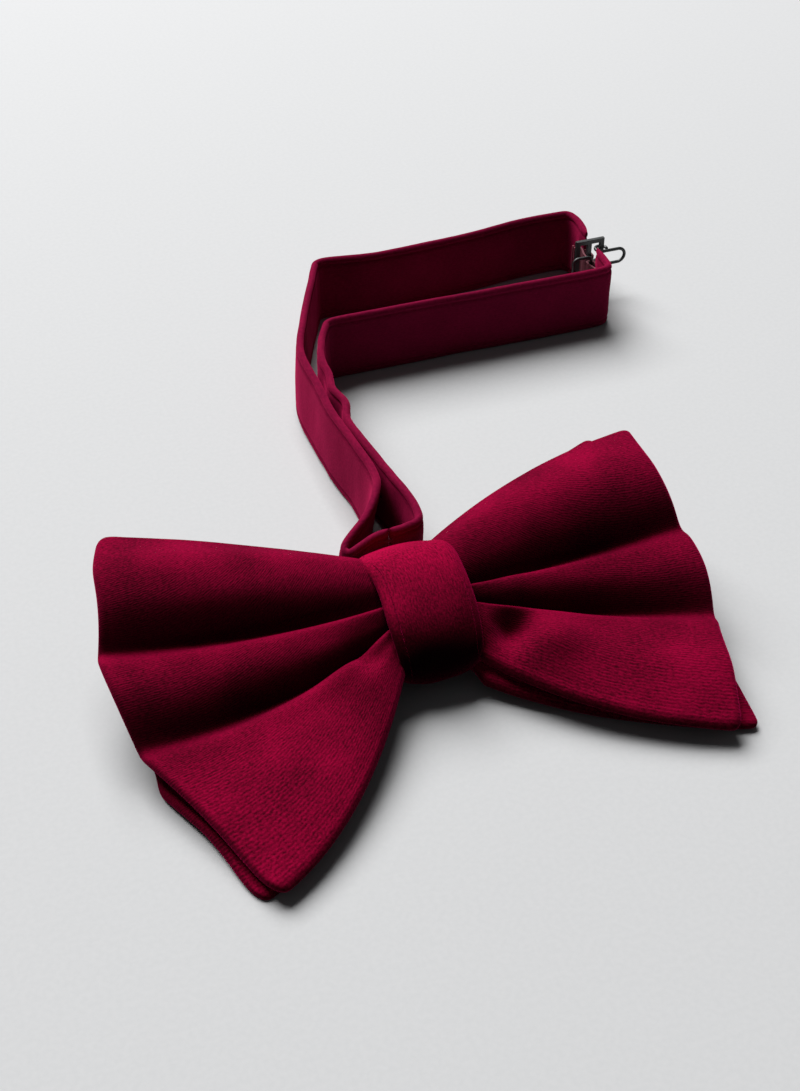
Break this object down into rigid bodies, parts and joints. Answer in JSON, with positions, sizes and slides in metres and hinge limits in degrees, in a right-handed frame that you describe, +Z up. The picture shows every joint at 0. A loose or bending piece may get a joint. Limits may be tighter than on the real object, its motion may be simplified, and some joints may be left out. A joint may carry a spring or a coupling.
{
  "type": "bow tie",
  "caption": "Ready-tied velvet bow tie: a double bow with fanned pleats, a wrapped knot, and a flat neckband that folds open and fastens with a wire hook and eye.",
  "frame": {"origin": "middle of the whole tie in plan, on the surface it lies on", "axes": "+X along the bow, +Y from the knot along the neckband, +Z up"},
  "size_m": [0.1781, 0.1902, 0.0323],
  "materials": {
    "bow_velvet": "crimson velvet pile",
    "band_velvet": "crimson velvet pile, pressed flat",
    "interlining": "woven interlining",
    "thread": "sewing thread",
    "ribbon": "narrow woven ribbon",
    "black_metal": "black enamel"
  },
  "bodies": {
    "bow": {"front_bow_velvet": "bow_velvet", "front_bow_interlining": "interlining", "rear_bow_velvet": "bow_velvet", "rear_bow_interlining": "interlining", "knot_wrap_velvet": "bow_velvet", "knot_wrap_filler": "interlining", "waist_binding_thread": "thread", "knot_lap_stitches": "thread"},
    "neckband": {"neckband_velvet": "band_velvet", "neckband_interlining": "interlining", "band_anchor_stitches": "thread"},
    "back_band": {"back_band_velvet": "band_velvet", "back_band_interlining": "interlining", "hook_ribbon_tab": "ribbon", "hook_tab_bar_tack": "thread", "slotted_hook_plate": "black_metal"},
    "front_band": {"front_band_velvet": "band_velvet", "front_band_interlining": "interlining", "eye_ribbon_tab": "ribbon", "eye_tab_bar_tack": "thread"},
    "hook": {"wire_hook": "black_metal"},
    "eye": {"wire_eye": "black_metal"}
  },
  "joints": [
    {"name": "neckband_sway", "type": "hinge", "parent": "bow", "child": "neckband", "pos_m": [-0.0188, -0.01992, 0.0095], "axis": [0, 0, 1], "range_deg": [-10, 10]},
    {"name": "back_band_fold", "type": "hinge", "parent": "neckband", "child": "back_band", "pos_m": [0.01345, 0.09388, 0.0095], "axis": [0, 0, 1], "range_deg": [0, 40]},
    {"name": "front_band_fold", "type": "hinge", "parent": "neckband", "child": "front_band", "pos_m": [0.00745, 0.06388, 0.0095], "axis": [0, 0, 1], "range_deg": [-40, 0]},
    {"name": "hook_swing", "type": "hinge", "parent": "back_band", "child": "hook", "pos_m": [0.0819, 0.07938, 0.0125], "axis": [0, 0, 1], "range_deg": [-75, 90]},
    {"name": "eye_swing", "type": "hinge", "parent": "front_band", "child": "eye", "pos_m": [0.07685, 0.07508, 0.0095], "axis": [0, 0, 1], "range_deg": [-10, 45]}
  ]
}
